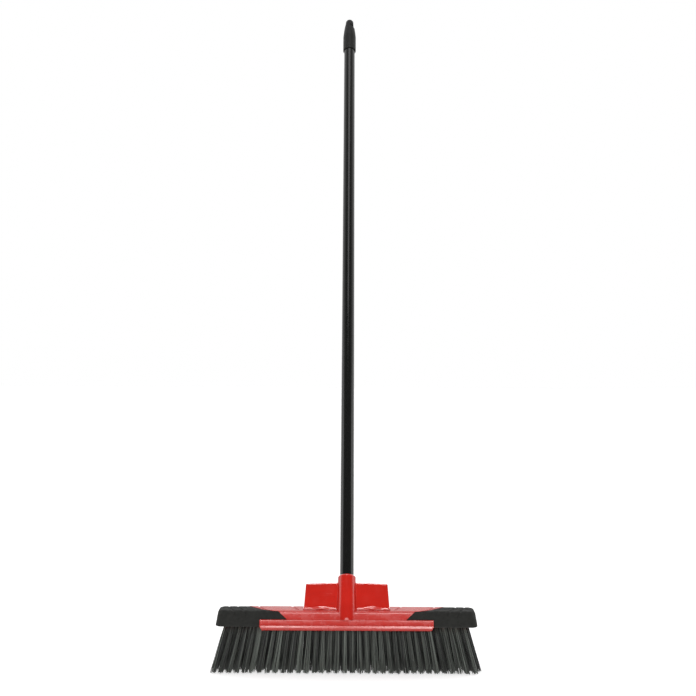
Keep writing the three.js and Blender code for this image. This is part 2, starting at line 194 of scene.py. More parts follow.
CAMERA_PLACE = (0, -1.9985, 0.5708)
CAMERA_ROLL = math.radians(0.29)
CAMERA_LENS = 57.93
CAMERA_SENSOR = 36
SKY_FRONT, SKY_BACK = 0.1, 0.95      # strength of the surroundings ahead and behind
SKY_TURN = (-0.35, 0.5)              # where along Y one becomes the other
FLOOR_HALF = 14.0
FLOOR_DROP = 0.001                   # keeps the floor just under the bristles
FLOOR_GLOW = 0.62
HEAD_MIDDLE = (0, 0, 0.1)

# ---------------------------------------------------------------- derived places

block_low = BRISTLE_LENGTH
block_top = block_low + BLOCK_HEIGHT
block_end = BLOCK_WIDTH / 2
top_edge = BLOCK_DEPTH / 2 - TOP_SETBACK
lip_top = block_low - LIP_DROP + LIP_RADIUS
bore_radius = THREAD_DIAMETER / 2 + GAP
mouth_radius = TUBE_DIAMETER / 2 + GAP
socket_radius = mouth_radius + SOCKET_WALL
socket_low_radius = socket_radius + SOCKET_FLARE
mouth_depth = TUBE_IN_SOCKET + SHOULDER + 2 * GAP
bore_end = mouth_depth + THREAD_LENGTH + BORE_END_GAP
cap_start = TUBE_LENGTH - TUBE_IN_SOCKET - TUBE_IN_CAP
cap_radius = mouth_radius + CAP_WALL
column_pitch = (BLOCK_WIDTH - 2 * END_MARGIN) / (TUFT_COLUMNS - 1)
row_pitch = (BLOCK_DEPTH - 2 * SIDE_MARGIN) / (TUFT_ROWS - 1)

socket_mouth = Vector((
    0,
    SOCKET_RISE * math.sin(HANDLE_LEAN) - AXIS_AHEAD,
    block_top + SOCKET_RISE * math.cos(HANDLE_LEAN),
))
handle_frame = Matrix.Translation(socket_mouth) @ Matrix.Rotation(-HANDLE_LEAN, 4, "X")

# ---------------------------------------------------------------- studio


def make_camera():
    data = bpy.data.cameras.new("photo_view")
    data.sensor_width = CAMERA_SENSOR
    data.lens = CAMERA_LENS
    camera = bpy.data.objects.new("photo_view", data)
    camera.matrix_world = (
        Matrix.Translation(CAMERA_PLACE)
        @ Matrix.Rotation(math.radians(90), 4, "X")
        @ Matrix.Rotation(CAMERA_ROLL, 4, "Z")
    )
    bpy.context.scene.collection.objects.link(camera)
    bpy.context.scene.camera = camera


def soft_light(name, place, target, size, radiance):
    """A rectangular softbox of that size that sends out that radiance."""
    data = bpy.data.lights.new(name, "AREA")
    data.shape = "RECTANGLE"
    data.size, data.size_y = size
    data.energy = radiance * math.pi * size[0] * size[1]
    light = bpy.data.objects.new(name, data)
    aim = Vector(target) - Vector(place)
    light.matrix_world = (
        Matrix.Translation(place) @ aim.to_track_quat("-Z", "Y").to_matrix().to_4x4()
    )
    bpy.context.scene.collection.objects.link(light)
    return light


def light_only(light, obj):
    """Keeps a light to one piece, as a small card beside it would."""
    group = bpy.data.collections.new(light.name)
    group.objects.link(obj)
    light.light_linking.receiver_collection = group


def make_world():
    """White all round to the camera. To the object it is bright behind and dim in front."""
    world = bpy.data.worlds.new("studio")
    bpy.context.scene.world = world
    world.use_nodes = True
    tree = world.node_tree
    background = tree.nodes["Background"]
    coords = tree.nodes.new("ShaderNodeTexCoord")
    split = tree.nodes.new("ShaderNodeSeparateXYZ")
    tree.links.new(coords.outputs["Generated"], split.inputs[0])
    across = tree.nodes.new("ShaderNodeMapRange")
    across.interpolation_type = "SMOOTHSTEP"
    limits = (*SKY_TURN, SKY_FRONT, SKY_BACK)
    for name, value in zip(("From Min", "From Max", "To Min", "To Max"), limits):
        across.inputs[name].default_value = value
    tree.links.new(split.outputs["Y"], across.inputs["Value"])
    path = tree.nodes.new("ShaderNodeLightPath")
    seen = tree.nodes.new("ShaderNodeMath")
    seen.operation = "MAXIMUM"
    tree.links.new(across.outputs[0], seen.inputs[0])
    tree.links.new(path.outputs["Is Camera Ray"], seen.inputs[1])
    background.inputs["Color"].default_value = (1, 1, 1, 1)
    tree.links.new(seen.outputs[0], background.inputs["Strength"])


def make_floor():
    """A pale floor, lit a little from below as on a light table."""
    corners = ((-1, -1), (1, -1), (1, 1), (-1, 1))
    mesh = bpy.data.meshes.new("floor")
    mesh.from_pydata(
        [(x * FLOOR_HALF, y * FLOOR_HALF, -FLOOR_DROP) for x, y in corners], [], [(0, 1, 2, 3)])
    floor = bpy.data.objects.new("floor", mesh)
    bpy.context.scene.collection.objects.link(floor)
    material = bpy.data.materials.new("floor_white")
    material.use_nodes = True
    shader = material.node_tree.nodes["Principled BSDF"]
    shader.inputs["Base Color"].default_value = (0.9, 0.9, 0.9, 1)
    shader.inputs["Roughness"].default_value = 0.9
    shader.inputs["Specular IOR Level"].default_value = 0.1
    shader.inputs["Emission Color"].default_value = (1, 1, 1, 1)
    shader.inputs["Emission Strength"].default_value = FLOOR_GLOW
    mesh.materials.append(material)


def make_studio():
    bpy.context.scene.view_settings.view_transform = "Standard"
    make_camera()
    make_world()
    make_floor()
    soft_light("overhead", (0, -0.1, 2.6), (0, 0, 0), (0.75, 1.25), 1.7)
    soft_light("front", (0, -3, 0.75), (0, 0, 0.4), (2.2, 1.3), 5)
    for side in (-1, 1):
        soft_light("side", (side * 2.2, 0.4, 0.8), (0, 0, 0.5), (0.8, 1.8), 1.2)


def make_accents(block, bracket):
    """The glints on the lip's ends, and on the rims and the foot of the bracket."""
    for name, place, size, radiance, lit in (
        ("lip_card", (-0.45, -0.6, 2.4), (0.45, 1.1), 15, block),
        ("lip_card", (0.45, -0.6, 2.4), (0.45, 1.1), 15, block),
        ("rim_card", (0, -0.45, 2.4), (0.42, 1.3), 22, bracket),
        ("foot_card", (0, 3, 0.95), (2.4, 0.9), 5, bracket),
    ):
        light_only(soft_light(name, place, HEAD_MIDDLE, size, radiance), lit)


# ---------------------------------------------------------------- mesh tools


def add_object(name, points, faces, matrix=None):
    """An object from points in millimetres, moved by matrix first."""
    points = np.asarray(points, float)
    if matrix is not None:
        m = np.array(matrix)
        points = points @ m[:3, :3].T + m[:3, 3]
    mesh = bpy.data.meshes.new(name)
    mesh.from_pydata((points * MM).tolist(), [], faces)
    obj = bpy.data.objects.new(name, mesh)
    bpy.context.scene.collection.objects.link(obj)
    made = bmesh.new()
    made.from_mesh(mesh)
    bmesh.ops.remove_doubles(made, verts=made.verts, dist=1e-3 * MM)
    bmesh.ops.recalc_face_normals(made, faces=made.faces)
    made.to_mesh(mesh)
    made.free()
    return obj


def remove(obj):
    mesh = obj.data
    bpy.data.objects.remove(obj)
    bpy.data.meshes.remove(mesh)


def settle(obj):
    """Applies the modifiers of obj."""
    graph = bpy.context.evaluated_depsgraph_get()
    made = bpy.data.meshes.new_from_object(obj.evaluated_get(graph))
    obj.modifiers.clear()
    old, obj.data = obj.data, made
    bpy.data.meshes.remove(old)
    made.name = obj.name


def carve(obj, operation, *tools):
    """Boolean of obj with each tool in turn. The tools are used up."""
    for tool in tools:
        modifier = obj.modifiers.new("carve", "BOOLEAN")
        modifier.operation = operation
        modifier.solver = "EXACT"
        modifier.object = tool
        settle(obj)
        remove(tool)
    return obj


def fuse(name, parts, voxel, smoothing):
    """Closed parts that run into each other, made one skin with softened edges."""
    made = bmesh.new()
    for part in parts:
        made.from_mesh(part.data)
        remove(part)
    mesh = bpy.data.meshes.new(name)
    made.to_mesh(mesh)
    made.free()
    obj = bpy.data.objects.new(name, mesh)
    bpy.context.scene.collection.objects.link(obj)
    remesh = obj.modifiers.new("skin", "REMESH")
    remesh.mode = "VOXEL"
    remesh.voxel_size = voxel * MM
    smooth = obj.modifiers.new("soften", "SMOOTH")
    smooth.factor = 0.5
    smooth.iterations = smoothing
    settle(obj)
    return obj


def break_edges(obj, width, segments=2):
    bevel = obj.modifiers.new("edges", "BEVEL")
    bevel.width = width * MM
    bevel.segments = segments
    bevel.limit_method = "ANGLE"
    bevel.angle_limit = math.radians(32)
    settle(obj)


def shade(obj, angle=35):
    mesh = obj.data
    mesh.polygons.foreach_set("use_smooth", [True] * len(mesh.polygons))
    mesh.set_sharp_from_angle(angle=math.radians(angle))


def loft(rings, closed=True):
    """Points and faces through closed rings of equal count, with a cap on both ends."""
    count = len(rings[0])
    faces = []
    for level in range(len(rings) - 1):
        a, b = level * count, (level + 1) * count
        for i in range(count):
            j = (i + 1) % count
            faces.append((a + i, a + j, b + j, b + i))
    if closed:
        faces.append(tuple(reversed(range(count))))
        faces.append(tuple(range((len(rings) - 1) * count, len(rings) * count)))
    return np.concatenate([np.asarray(ring, float) for ring in rings]), faces


def turned(name, profile, segments=96, matrix=None):
    """A solid of revolution about Z from a closed outline of (radius, z)."""
    angles = np.arange(segments) * 2 * math.pi / segments
    rings = [
        np.stack([r * np.cos(angles), r * np.sin(angles), np.full(segments, z)], axis=1)
        for r, z in [*profile, profile[0]]
    ]
    points, faces = loft(rings, closed=False)
    return add_object(name, points, faces, matrix)


def rod(name, radius, z0, z1, matrix=None, segments=64):
    return turned(name, [(0, z0), (radius, z0), (radius, z1), (0, z1)], segments, matrix)


def box(name, x, y, z, matrix=None):
    rings = [[(x[0], y[0], h), (x[1], y[0], h), (x[1], y[1], h), (x[0], y[1], h)] for h in z]
    return add_object(name, *loft(rings), matrix)


def rounded(outline, radii, steps=6):
    """A 2-D outline with its corners rounded by arcs. A radius of 0 leaves one sharp."""
    made = []
    count = len(outline)
    for i, (corner, radius) in enumerate(zip(outline, radii)):
        here = Vector(corner)
        if radius == 0:
            made.append(here)
            continue
        back = (Vector(outline[i - 1]) - here).normalized()
        ahead = (Vector(outline[(i + 1) % count]) - here).normalized()
        half = back.angle(ahead) / 2
        reach = radius / math.tan(half)
        start, end = here + back * reach, here + ahead * reach
        for k in range(steps + 1):
            t = k / steps
            # a quadratic curve through the tangent points is close to the arc
            made.append(start * (1 - t) ** 2 + here * 2 * t * (1 - t) + end * t ** 2)
    return [tuple(p) for p in made]


def inset(outline, amount):
    """A convex 2-D outline, listed anticlockwise, with every side moved in by amount."""
    made = []
    count = len(outline)
    for i in range(count):
        here = Vector(outline[i])
        along = (here - Vector(outline[i - 1])).normalized()
        onward = (Vector(outline[(i + 1) % count]) - here).normalized()
        normals = Vector((-along.y, along.x)), Vector((-onward.y, onward.x))
        middle = (normals[0] + normals[1]).normalized()
        made.append(tuple(here + middle * (amount / max(middle.dot(normals[0]), 0.5))))
    return made


def pushed(name, outline, y, rim=0.0, matrix=None, steps=4):
    """An outline of (x, z) pushed along Y, with its rims rounded by rim."""
    levels = [(y[0], 0.0), (y[1], 0.0)]
    if rim:
        turn = [k * math.pi / 2 / steps for k in range(steps + 1)]
        near = [(y[0] + rim * (1 - math.sin(a)), rim * (1 - math.cos(a))) for a in reversed(turn)]
        far = [(y[1] - rim * (1 - math.sin(a)), rim * (1 - math.cos(a))) for a in turn]
        levels = near + far
    rings = [[(x, level, z) for x, z in inset(outline, into)] for level, into in levels]
    return add_object(name, *loft(rings), matrix)


def raised(name, outline, z):
    """An outline of (x, y) raised along Z."""
    rings = [[(x, y, level) for x, y in outline] for level in z]
    return add_object(name, *loft(rings))


def swept(name, path, radii, sides=20):
    """A round bar through the points of path, with a radius for each of them."""
    path = [Vector(p) for p in path]
    rings = []
    side = None
    for i, here in enumerate(path):
        along = (path[min(i + 1, len(path) - 1)] - path[max(i - 1, 0)]).normalized()
        guide = side or along.orthogonal()
        side = guide - along * guide.dot(along)
        side.normalize()
        other = along.cross(side)
        rings.append([
            here + (side * math.cos(a) + other * math.sin(a)) * radii[i]
            for a in (2 * math.pi * k / sides for k in range(sides))
        ])
    return add_object(name, *loft(rings))


# ---------------------------------------------------------------- materials


class Shader:
    """A principled material with a few ways of driving it from noise in object space."""

    def __init__(self, name, **sockets):
        self.material = bpy.data.materials.new(name)
        self.material.use_nodes = True
        self.tree = self.material.node_tree
        self.bsdf = self.tree.nodes["Principled BSDF"]
        for socket, value in sockets.items():
            self.bsdf.inputs[socket.replace("_", " ")].default_value = value
        self.coords = self.add("ShaderNodeTexCoord").outputs["Object"]
        self.normal = None

    def add(self, kind, **inputs):
        node = self.tree.nodes.new(kind)
        for socket, value in inputs.items():
            node.inputs[socket.replace("_", " ")].default_value = value
        return node

    def link(self, source, target):
        self.tree.links.new(source, target)

    def noise(self, size, detail=3, stretch=(1, 1, 1), turn=(0, 0, 0)):
        """Noise whose features are about size millimetres across, longer by stretch."""
        mapping = self.add("ShaderNodeMapping")
        mapping.inputs["Scale"].default_value = [1 / s for s in stretch]
        mapping.inputs["Rotation"].default_value = turn
        self.link(self.coords, mapping.inputs["Vector"])
        noise = self.add("ShaderNodeTexNoise", Scale=1 / (size * MM), Detail=detail)
        self.link(mapping.outputs[0], noise.inputs["Vector"])
        return noise.outputs["Fac"]

    def spread(self, value, low, high, start=0.35, end=0.65):
        """value from start to end, carried to low to high."""
        node = self.add("ShaderNodeMapRange", From_Min=start, From_Max=end, To_Min=low, To_Max=high)
        self.link(value, node.inputs["Value"])
        return node.outputs[0]

    def mix(self, share, low, high):
        """Colour low where share is 0, high where it is 1. Either may be a socket."""
        node = self.add("ShaderNodeMix")
        node.data_type = "RGBA"
        self.link(share, node.inputs["Factor"])
        for socket, color in ((node.inputs[6], low), (node.inputs[7], high)):
            if isinstance(color, tuple):
                socket.default_value = (*color, 1)
            else:
                self.link(color, socket)
        return node.outputs[2]

    def color(self, source):
        self.link(source, self.bsdf.inputs["Base Color"])

    def roughness(self, source):
        self.link(source, self.bsdf.inputs["Roughness"])

    def bump(self, height, depth, strength=1.0):
        """Adds relief of that depth in millimetres, on top of any before it."""
        node = self.add("ShaderNodeBump", Strength=strength, Distance=depth * MM)
        self.link(height, node.inputs["Height"])
        if self.normal:
            self.link(self.normal, node.inputs["Normal"])
        self.normal = node.outputs[0]
        self.link(self.normal, self.bsdf.inputs["Normal"])


def red_plastic(name, light, dark, roughness, grain):
    """Moulded plastic: faint flow in its colour, fine grain, hairline scuffs."""
    s = Shader(name, Specular_IOR_Level=0.5, Coat_Weight=0.06, Coat_Roughness=0.2)
    flow = s.spread(s.noise(38, detail=2, stretch=(2.5, 1, 1)), 0, 1)
    speck = s.spread(s.noise(0.9, detail=2), 0, 1, 0.3, 0.75)
    tint = s.mix(flow, dark, light)
    s.color(s.mix(s.spread(speck, 0, 0.22, 0, 1), tint, tuple(0.82 * c for c in light)))
    scuff = s.spread(s.noise(2.2, detail=4, stretch=(14, 1, 1), turn=(0, 0, 0.35)), 0, 1, 0.6, 0.72)
    cloud = s.spread(s.noise(14, detail=4), roughness - 0.06, roughness + 0.07)
    rough = s.add("ShaderNodeMath")
    rough.operation = "MULTIPLY_ADD"
    s.link(scuff, rough.inputs[0])
    rough.inputs[1].default_value = 0.14
    s.link(cloud, rough.inputs[2])
    s.roughness(rough.outputs[0])
    s.bump(s.noise(0.45, detail=2), grain)
    s.bump(s.noise(9, detail=1), 0.018)
    return s.material


def bumper_rubber():
    """Matt soft rubber, with a close grain and paler rubbed patches."""
    s = Shader("bumper_rubber", Specular_IOR_Level=0.35)
    rubbed = s.spread(s.noise(17, detail=5), 0, 1, 0.45, 0.7)
    speck = s.spread(s.noise(0.7, detail=2), 0, 1, 0.4, 0.7)
    base = s.mix(rubbed, (0.0145, 0.0148, 0.0128), (0.020, 0.0204, 0.0178))
    s.color(s.mix(s.spread(speck, 0, 0.2, 0, 1), base, (0.03, 0.03, 0.027)))
    s.roughness(s.spread(s.noise(6, detail=4), 0.62, 0.8))
    s.bump(s.noise(0.6, detail=3), 0.09)
    s.bump(s.noise(5, detail=2), 0.05)
    return s.material


def tube_coat():
    """Black powder coat on steel: orange peel, and faint streaks along the tube."""
    s = Shader("tube_coat", Specular_IOR_Level=0.5)
    streak = s.noise(1.6, detail=3, stretch=(1, 1, 90), turn=(HANDLE_LEAN, 0, 0))
    s.color(s.mix(s.spread(streak, 0, 1), (0.006, 0.0062, 0.0055), (0.0085, 0.0088, 0.008)))
    s.roughness(s.spread(s.noise(8, detail=4, stretch=(1, 1, 6)), 0.14, 0.2))
    s.bump(s.noise(1.6, detail=1), 0.0006)
    s.bump(streak, 0.0003)
    return s.material


def black_plastic(name, low, high, roughness, grain):
    """Unpainted black moulded plastic with an eroded texture."""
    s = Shader(name, Specular_IOR_Level=0.45)
    s.color(s.mix(s.spread(s.noise(11, detail=4), 0, 1), low, high))
    s.roughness(s.spread(s.noise(3, detail=3), roughness - 0.06, roughness + 0.08))
    s.bump(s.noise(0.5, detail=3), grain)
    return s.material


def bristle_plastic():
    """Drawn filaments: each has its own tone, with painted shade that darkens the inner rows and
    lightens the outer ones, and they are dustier towards the tips.
    """
    s = Shader("bristle", Specular_IOR_Level=0.5)
    tone = s.add("ShaderNodeAttribute")
    tone.attribute_name = "tone"
    split = s.add("ShaderNodeSeparateXYZ")
    s.link(s.coords, split.inputs[0])
    fresh = s.mix(tone.outputs["Fac"], (0.002, 0.0023, 0.002), (0.17, 0.19, 0.166))
    dust = s.spread(s.noise(7, detail=3), 0.0, 0.3)
    reach = s.spread(split.outputs["Z"], 1, 0, 0, 0.03)
    share = s.add("ShaderNodeMath")
    share.operation = "MULTIPLY"
    s.link(dust, share.inputs[0])
    s.link(reach, share.inputs[1])
    s.color(s.mix(share.outputs[0], fresh, (0.085, 0.088, 0.078)))
    s.roughness(s.spread(s.noise(1.2, detail=2, stretch=(1, 1, 8)), 0.32, 0.5))
    s.bump(s.noise(0.3, detail=2, stretch=(1, 1, 12)), 0.03)
    return s.material


# ---------------------------------------------------------------- block and bumpers


def plan_ring(z, into, steps=7):
    """The block's rounded outline at height z, drawn in from its drafted faces."""
    rise = (z - block_low) / BLOCK_HEIGHT
    half_x = BLOCK_WIDTH / 2 - END_SETBACK * rise - into
    half_y = BLOCK_DEPTH / 2 - TOP_SETBACK * rise - into
    radius = max(PLAN_CORNER - into, 1)
    ring = []
    for quarter, (sx, sy) in enumerate(((1, 1), (-1, 1), (-1, -1), (1, -1))):
        for k in range(steps + 1):
            a = (quarter + k / steps) * math.pi / 2
            ring.append((
                sx * (half_x - radius) + radius * math.cos(a),
                sy * (half_y - radius) + radius * math.sin(a),
                z,
            ))
    return ring


def bar_crown(skin, steps=6):
    top = block_top - skin
    turns = [k * math.pi / 2 / steps for k in range(steps + 1)]
    return [
        plan_ring(top - TOP_EDGE * (1 - math.sin(a)), skin + TOP_EDGE * (1 - math.cos(a)))
        for a in turns
    ]


def bar(name, skin, steps=3):
    turns = [k * math.pi / 2 / steps for k in range(steps + 1)]
    foot = [
        plan_ring(block_low + LOW_EDGE * (1 - math.cos(a)), skin + LOW_EDGE * (1 - math.sin(a)))
        for a in turns
    ]
    return add_object(name, *loft(foot + bar_crown(skin)))


def deep_bar(name, skin):
    rings = [plan_ring(block_low - BLOCK_HEIGHT, skin), *bar_crown(skin)]
    return add_object(name, *loft(rings))


def bumper_regions(sign, spare):
    """The two solids that together hold a bumper: its end piece and its tongue."""
    far = BLOCK_WIDTH
    below, above = block_low - BLOCK_HEIGHT, block_top + BLOCK_HEIGHT
    back = block_end - BUMPER_BACK_REACH
    front = block_end - TONGUE_TOP_REACH
    ends = Vector((back, top_edge)), Vector((front, -top_edge))
    bend = Vector(((back + front) / 2 + BOUNDARY_BEND[0], BOUNDARY_BEND[1]))
    curve = []
    for k in range(BOUNDARY_STEPS + 1):
        t = k / BOUNDARY_STEPS
        here = ends[0] * (1 - t) ** 2 + bend * 2 * t * (1 - t) + ends[1] * t ** 2
        along = (bend - ends[0]) * (1 - t) + (ends[1] - bend) * t
        away = Vector((along.y, -along.x)).normalized() * spare
        curve.append((here.x + away.x, here.y + away.y))
    plan = [(back - spare, far), *curve, (front - spare, -far), (far, -far), (far, far)]
    slant = (TONGUE_TIP_REACH - TONGUE_TOP_REACH) / TONGUE_HEIGHT
    tongue_top = block_end - TONGUE_TOP_REACH - spare * math.hypot(1, slant)
    tongue_line = block_top - BUMPER_SUNK - TONGUE_SINK
    # past its corner the tongue rises, but stays inside the end piece
    face = rounded(
        [(tongue_top - slant * (tongue_line - below), below), (far, below), (far, tongue_line + 6),
         (tongue_top + 20, tongue_line + 6), (tongue_top + 8, tongue_line),
         (tongue_top, tongue_line)],
        [0, 0, 0, 0, 0, TONGUE_CORNER])
    tongue_low = block_top - TONGUE_HEIGHT - spare
    lip_end = block_end - LIP_MARGIN + GAP - spare
    made = [
        raised("end", [(sign * x, y) for x, y in plan], (below, above)),
        pushed("tongue", [(sign * x, z) for x, z in face],
               (-BLOCK_DEPTH, TOP_EDGE / 2 + spare - top_edge)),
    ]
    for piece in made:
        under = box("under", (-far, far), (-far, 0), (below - 1, tongue_low))
        keep = box("keep", tuple(sorted((sign * lip_end, sign * 2 * far))),
                   (-2 * far, far), (below - 2, tongue_low + 1))
        carve(under, "DIFFERENCE", keep)
        carve(piece, "DIFFERENCE", under)
    return made


def finger_groove(sign, reach_back, run_in, over_front):
    """A curved groove across the top, from the back edge forwards and inwards. Where it
    goes on over the front edge it fades on the leading face."""
    lift = GROOVE_TUBE - GROOVE_DEPTH
    path, radii = [], []
    start_y, end_y = top_edge + GROOVE_OVERRUN, -top_edge
    for k in range(GROOVE_STEPS + 1):
        t = k / GROOVE_STEPS
        y = start_y + (end_y - start_y) * t
        x = block_end - reach_back - run_in * t ** GROOVE_CURVE
        z = block_top + lift
        if not over_front:
            z += GROOVE_FADE * max(0, t - GROOVE_FADE_FROM) ** 2
        path.append((sign * x, y, z))
        radii.append(GROOVE_TUBE)
    if over_front:
        for k in range(1, GROOVE_FRONT_STEPS + 1):
            drop = k * GROOVE_FRONT_STEP
            away = lift + GROOVE_FRONT_RISE * k
            x = block_end - reach_back - run_in - GROOVE_DRIFT * drop
            path.append((
                sign * x,
                -top_edge - drop * FACE_OUT - away * FACE_DOWN,
                block_top - drop * FACE_DOWN + away * FACE_OUT,
            ))
            radii.append(GROOVE_TUBE)
    return swept("groove", path, radii)


def make_lip():
    """The scraper lip: a bar with a flat upper face, whose ends slant in at the bottom."""
    y0, z0 = -BLOCK_DEPTH / 2 - LIP_FORWARD, block_low - LIP_DROP
    half = block_end - LIP_MARGIN
    turns = [2 * math.pi * k / LIP_SIDES for k in range(LIP_SIDES)]
    circle = [(math.cos(a), math.sin(a)) for a in turns]
    first, last = LIP_FLAT
    for k in range(first + 1, last):
        share = (k - first) / (last - first)
        circle[k] = tuple(Vector(circle[first]).lerp(Vector(circle[last]), share))
    rings = []
    for sign, profile in ((-1, LIP_END_ROUND), (1, LIP_END_ROUND[::-1])):
        for back, shrink in profile:
            radius = LIP_RADIUS - shrink
            ring = []
            for ahead, up in circle:
                y, z = y0 + radius * ahead, z0 + radius * up
                x = half - LIP_END_SLANT * (lip_top - z) / (2 * LIP_RADIUS) - back
                ring.append((sign * x, y, z))
            rings.append(ring)
    return add_object("lip", *loft(rings))


def make_strip(spare):
    """The flat strip above the lip, a little proud of the drafted face."""
    half = block_end - LIP_MARGIN - STRIP_SETBACK + spare
    low, high = block_low + STRIP_FOOT, block_top - TONGUE_HEIGHT - 2 * GAP + spare
    front = -BLOCK_DEPTH / 2 - spare
    section = [(front + STRIP_BACK, low), (front, low), (front, lip_top),
               (front + STRIP_RAKE, high - STRIP_EDGE), (front + STRIP_RAKE + STRIP_EDGE, high),
               (front + STRIP_BACK, high)]
    rings = [[(x, y, z) for y, z in section] for x in (-half, half)]
    return add_object("strip", *loft(rings))


def tuft_axis(column, row):
    """The axis of one tuft, as a function from height to (x, y)."""
    side = ROW_SHIFT if row % 2 else -ROW_SHIFT
    x = (column - (TUFT_COLUMNS - 1) / 2 + side) * column_pitch
    y = (row - (TUFT_ROWS - 1) / 2) * row_pitch

    def at(z):
        down = (block_low - z) / BRISTLE_LENGTH
        return x * (1 + (FAN_X - 1) * down), y * (1 + (FAN_Y - 1) * down)

    return at


def tuft_holes():
    """All the blind holes as one tool."""
    turns = [2 * math.pi * k / HOLE_SIDES for k in range(HOLE_SIDES)]
    radius = TUFT_RADIUS + GAP
    points, faces = [], []
    for column in range(TUFT_COLUMNS):
        for row in range(TUFT_ROWS):
            at = tuft_axis(column, row)
            rings = []
            for z in (block_low - 2, block_low + HOLE_DEPTH):
                x, y = at(z)
                rings.append(
                    [(x + radius * math.cos(a), y + radius * math.sin(a), z) for a in turns])
            made, sewn = loft(rings)
            faces += [tuple(i + len(points) for i in face) for face in sewn]
            points += made.tolist()
    return add_object("holes", points, faces)


def make_block():
    block = bar("head_block", 0)
    for sign in (1, -1):
        for region in bumper_regions(sign, GAP):
            core = deep_bar("core", BUMPER_SKIN + GAP)
            carve(block, "DIFFERENCE", carve(region, "DIFFERENCE", core))
    carve(block, "UNION", make_strip(0), make_lip())
    for sign in (1, -1):
        carve(block, "DIFFERENCE", *(finger_groove(sign, *g, False) for g in BLOCK_GROOVES))
    carve(block, "DIFFERENCE", tuft_holes())
    break_edges(block, EDGE_BREAK)
    shade(block)
    return block


def make_bumper(name, sign):
    parts = []
    for region in bumper_regions(sign, 0):
        shell = bar("shell", BUMPER_SUNK)
        carve(shell, "DIFFERENCE", deep_bar("core", BUMPER_SKIN))
        parts.append(carve(shell, "INTERSECT", region))
    bumper = fuse(name, parts, RUBBER_VOXEL, 4)
    carve(bumper, "DIFFERENCE", *(finger_groove(sign, *g, True) for g in BUMPER_GROOVES))
    soften = bumper.modifiers.new("soften", "SMOOTH")
    soften.factor = 0.4
    soften.iterations = 3
    settle(bumper)
    shade(bumper, 60)
    return bumper


# ---------------------------------------------------------------- bracket


def panel_web(middle):
    """A lens-shaped web that thickens the foot of the panel, where it meets the block."""
    slope = math.tan(HANDLE_LEAN)
    foot = block_top + GAP + FLANGE_THICKNESS
    y = -AXIS_AHEAD - PANEL_AHEAD / math.cos(HANDLE_LEAN) + (foot - block_top) * slope
    turns = [k / 16 for k in range(17)]
    path = [(middle + WEB_HALF * (2 * t - 1), y, foot - WEB_SINK) for t in turns]
    radii = [WEB_END_RADIUS + WEB_RADIUS * math.sin(math.pi * t) for t in turns]
    return swept("web", path, radii)


def make_bracket():
    top = -SOCKET_RISE
    nose = top - NOSE_REACH
    parts = [turned("socket", [
        (0, nose), (socket_low_radius, nose), (socket_low_radius, top),
        (socket_radius, -SOCKET_CHAMFER), (mouth_radius + SOCKET_WALL / 3, 0), (0, 0),
    ], 96, handle_frame)]
    dome = [(socket_low_radius * math.cos(a), nose + socket_low_radius * math.sin(a))
            for a in (math.radians(d) for d in range(-90, 91, 10))]
    parts.append(turned("nose", dome, 64, handle_frame))
    backwards = Matrix.Translation((0, 0, nose)) @ Matrix.Rotation(-math.pi / 2, 4, "X")
    parts.append(rod("flank_end", socket_low_radius, 0, NOSE_DEPTH, handle_frame @ backwards))
    wide = (-socket_low_radius, socket_low_radius)
    parts.append(box("flanks", wide, (0, NOSE_DEPTH), (nose, top), handle_frame))

    corner = -PANEL_BELOW_MOUTH
    arch = []
    for k in range(1, 16):
        t = k / 16
        arch.append((
            PANEL_TOP_HALF * (1 - 2 * t),
            corner + 4 * t * (1 - t) * PANEL_ARCH,
        ))
    outline = rounded(
        [(-PANEL_LOW_HALF, nose), (PANEL_LOW_HALF, nose), (PANEL_TOP_HALF, corner), *arch,
         (-PANEL_TOP_HALF, corner)],
        [0, 0, PANEL_CORNER, *[0] * len(arch), PANEL_CORNER])
    parts.append(pushed("panel", outline, (-PANEL_AHEAD, PANEL_THICKNESS - PANEL_AHEAD),
                        PANEL_ROUND, handle_frame))
    parts.append(box("flange", (-PANEL_LOW_HALF, PANEL_LOW_HALF), (-FLANGE_FRONT, FLANGE_BACK),
                     (block_top - 2, block_top + GAP + FLANGE_THICKNESS)))
    for sign in (-1, 1):
        parts.append(panel_web(sign * WEB_MIDDLE))
    bracket = fuse("handle_socket", parts, PLASTIC_VOXEL, 7)

    far = BLOCK_WIDTH
    carve(
        bracket, "DIFFERENCE",
        bar("block_room", -GAP),
        make_strip(GAP),
        box("behind", (-far, far), (0, far), (-far, block_top + GAP)),
        box("below", (-far, far), (-far, far), (-far, lip_top + GAP)),
        rod("mouth", mouth_radius, -mouth_depth, 1, handle_frame, 96),
        rod("bore", bore_radius, -bore_end, 0, handle_frame, 72),
    )
    shade(bracket, 50)
    return bracket


# ---------------------------------------------------------------- handle


def make_tube():
    outer, inner = TUBE_DIAMETER / 2, TUBE_DIAMETER / 2 - TUBE_WALL
    low, high = -TUBE_IN_SOCKET, TUBE_LENGTH - TUBE_IN_SOCKET
    lip = TUBE_WALL / 3
    outline = [
        (inner + lip, low), (outer - lip, low), (outer, low + lip),
        *[(outer, low + lip + (high - low - 2 * lip) * k / 24) for k in range(1, 24)],
        (outer, high - lip), (outer - lip, high), (inner + lip, high), (inner, high - lip),
        (inner, low + lip),
    ]
    tube = turned("tube", outline, 96, handle_frame)
    shade(tube, 40)
    return tube


